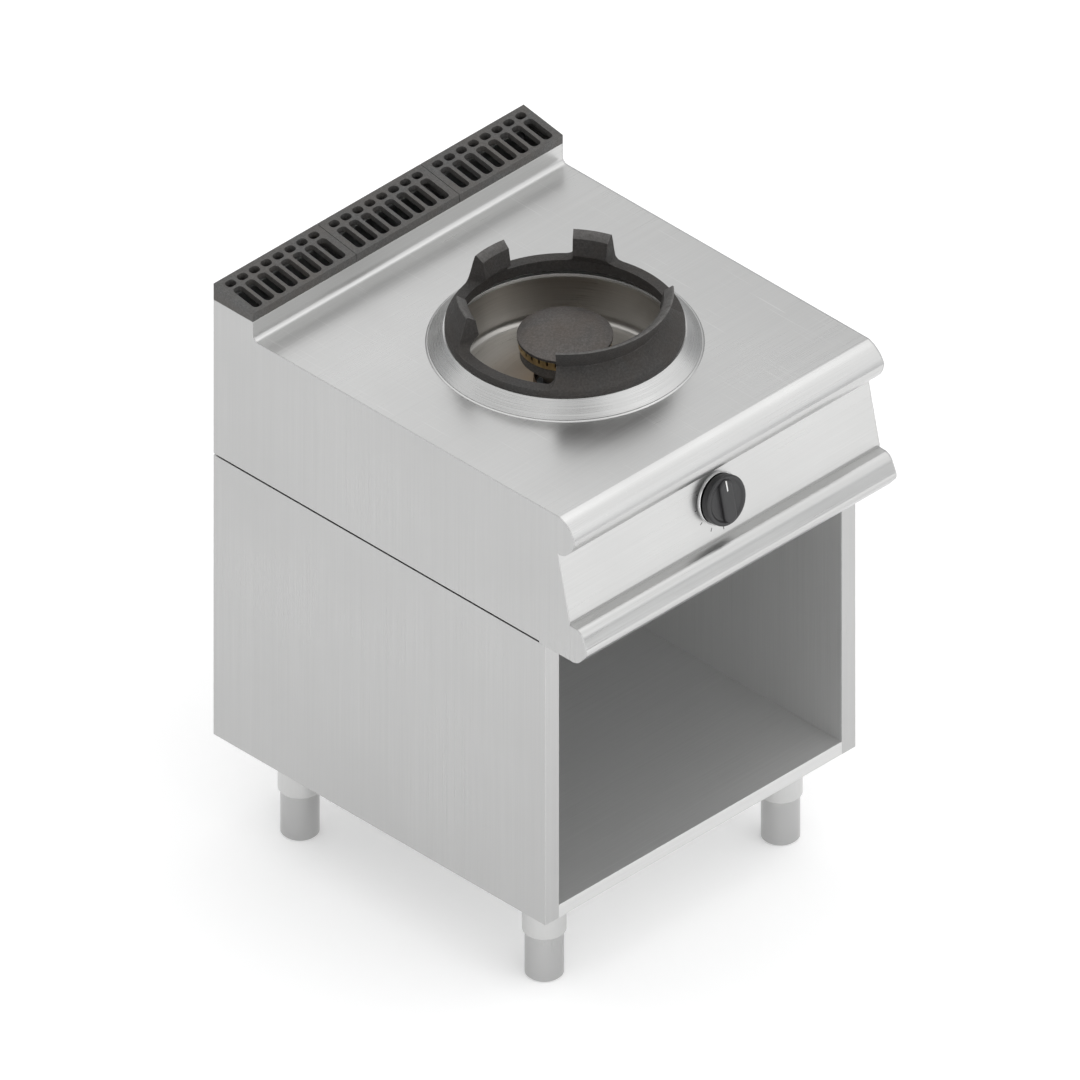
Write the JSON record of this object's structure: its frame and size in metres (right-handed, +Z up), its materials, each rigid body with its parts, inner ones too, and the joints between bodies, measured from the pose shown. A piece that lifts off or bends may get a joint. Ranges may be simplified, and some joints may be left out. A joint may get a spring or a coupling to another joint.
{
  "type": "wok range",
  "caption": "Freestanding gas wok range with a lugged iron ring on a raised collar, slotted flue, leaning control panel with a knob, and an open base on adjustable feet.",
  "frame": {"origin": "on the floor, at the middle of the outline seen from above", "axes": "+X to the user's right, +Y from the front to the back, +Z up"},
  "size_m": [0.6, 0.722, 0.9325],
  "materials": {
    "panel_steel": "satin brushed stainless steel sheet",
    "liner_steel": "fine satin stainless steel sheet",
    "worktop_steel": "satin brushed stainless steel, welded and ground",
    "bowl_steel": "pressed stainless steel, slightly heat tinted",
    "leg_steel": "turned stainless steel tube",
    "zinc_steel": "zinc coated steel sheet",
    "bolt_steel": "plated steel",
    "pilot_steel": "heat-darkened steel",
    "bezel_steel": "finely turned steel",
    "ring_iron": "sand-cast iron, matt black",
    "grille_iron": "cast iron with matt black enamel",
    "burner_iron": "raw sand-cast iron",
    "cap_iron": "machined cast iron, heat blackened",
    "crown_brass": "turned brass, dulled by heat",
    "gas_brass": "machined brass",
    "copper_pipe": "drawn copper",
    "gas_pipe": "yellow painted steel pipe",
    "seal_rubber": "matt black sealing strip",
    "knob_plastic": "moulded heat-proof plastic, fine texture"
  },
  "bodies": {
    "range": {"base_side_left": "panel_steel", "base_side_right": "panel_steel", "base_liner_left": "liner_steel", "base_liner_right": "liner_steel", "base_floor": "liner_steel", "base_back": "liner_steel", "base_front_rail": "liner_steel", "base_rear_rail": "liner_steel", "corner_plates": "zinc_steel", "leg_bolts": "bolt_steel", "leg_sleeve_front_left": "leg_steel", "leg_sleeve_front_right": "leg_steel", "leg_sleeve_rear_left": "leg_steel", "leg_sleeve_rear_right": "leg_steel", "upper_side_left": "panel_steel", "upper_side_right": "panel_steel", "worktop": "worktop_steel", "wok_collar": "worktop_steel", "spill_bowl": "bowl_steel", "control_panel": "panel_steel", "lower_nose": "panel_steel", "panel_screws": "bolt_steel", "upper_back": "panel_steel", "seam_gasket": "seal_rubber", "heat_shield": "zinc_steel", "burner_body": "burner_iron", "mixer_tube": "burner_iron", "injector": "gas_brass", "injector_holder": "gas_brass", "burner_bracket": "zinc_steel", "pilot_burner": "pilot_steel", "thermocouple": "pilot_steel", "gas_tap": "gas_brass", "tap_screws": "bolt_steel", "knob_bezel": "bezel_steel", "supply_pipe": "gas_pipe", "burner_pipe": "copper_pipe", "pilot_pipe": "copper_pipe", "thermocouple_lead": "copper_pipe", "gas_inlet": "bolt_steel", "earth_stud": "bolt_steel"},
    "foot_front_left": {"foot_front_left": "leg_steel"},
    "foot_front_right": {"foot_front_right": "leg_steel"},
    "foot_rear_left": {"foot_rear_left": "leg_steel"},
    "foot_rear_right": {"foot_rear_right": "leg_steel"},
    "tap_rod": {"tap_plunger": "gas_brass"},
    "knob": {"knob": "knob_plastic", "tap_spindle": "bolt_steel"},
    "wok_ring": {"wok_ring": "ring_iron"},
    "burner_crown": {"burner_crown": "crown_brass"},
    "burner_cap": {"burner_cap": "cap_iron"},
    "flue_grille_left": {"flue_grille_left": "grille_iron"},
    "flue_grille_centre": {"flue_grille_centre": "grille_iron"},
    "flue_grille_right": {"flue_grille_right": "grille_iron"},
    "air_shutter": {"air_shutter": "zinc_steel"}
  },
  "joints": [
    {"name": "foot_front_left_height", "type": "slide", "parent": "range", "child": "foot_front_left", "axis": [0, 0, -1], "range_m": [0, 0.05]},
    {"name": "foot_front_right_height", "type": "slide", "parent": "range", "child": "foot_front_right", "axis": [0, 0, -1], "range_m": [0, 0.05]},
    {"name": "foot_rear_left_height", "type": "slide", "parent": "range", "child": "foot_rear_left", "axis": [0, 0, -1], "range_m": [0, 0.05]},
    {"name": "foot_rear_right_height", "type": "slide", "parent": "range", "child": "foot_rear_right", "axis": [0, 0, -1], "range_m": [0, 0.05]},
    {"name": "knob_push", "type": "slide", "parent": "range", "child": "tap_rod", "axis": [0, 0.9764, -0.2159], "range_m": [0, 0.003], "stiffness_N_per_m": 2000, "springref_m": -0.004},
    {"name": "knob_turn", "type": "hinge", "parent": "tap_rod", "child": "knob", "pos_m": [0, -0.31628, 0.734], "axis": [0, -0.9764, 0.2159], "range_deg": [0, 180]},
    {"name": "wok_ring_lift", "type": "slide", "parent": "range", "child": "wok_ring", "axis": [0, 0, 1], "range_m": [0, 0.15]},
    {"name": "burner_crown_lift", "type": "slide", "parent": "range", "child": "burner_crown", "axis": [0, 0, 1], "range_m": [0, 0.12]},
    {"name": "burner_cap_lift", "type": "slide", "parent": "burner_crown", "child": "burner_cap", "axis": [0, 0, 1], "range_m": [0, 0.1]},
    {"name": "flue_grille_left_lift", "type": "slide", "parent": "range", "child": "flue_grille_left", "axis": [0, 0, 1], "range_m": [0, 0.06]},
    {"name": "flue_grille_centre_lift", "type": "slide", "parent": "range", "child": "flue_grille_centre", "axis": [0, 0, 1], "range_m": [0, 0.06]},
    {"name": "flue_grille_right_lift", "type": "slide", "parent": "range", "child": "flue_grille_right", "axis": [0, 0, 1], "range_m": [0, 0.06]},
    {"name": "air_shutter_slide", "type": "slide", "parent": "range", "child": "air_shutter", "axis": [0, -1, 0], "range_m": [0, 0.02]}
  ]
}
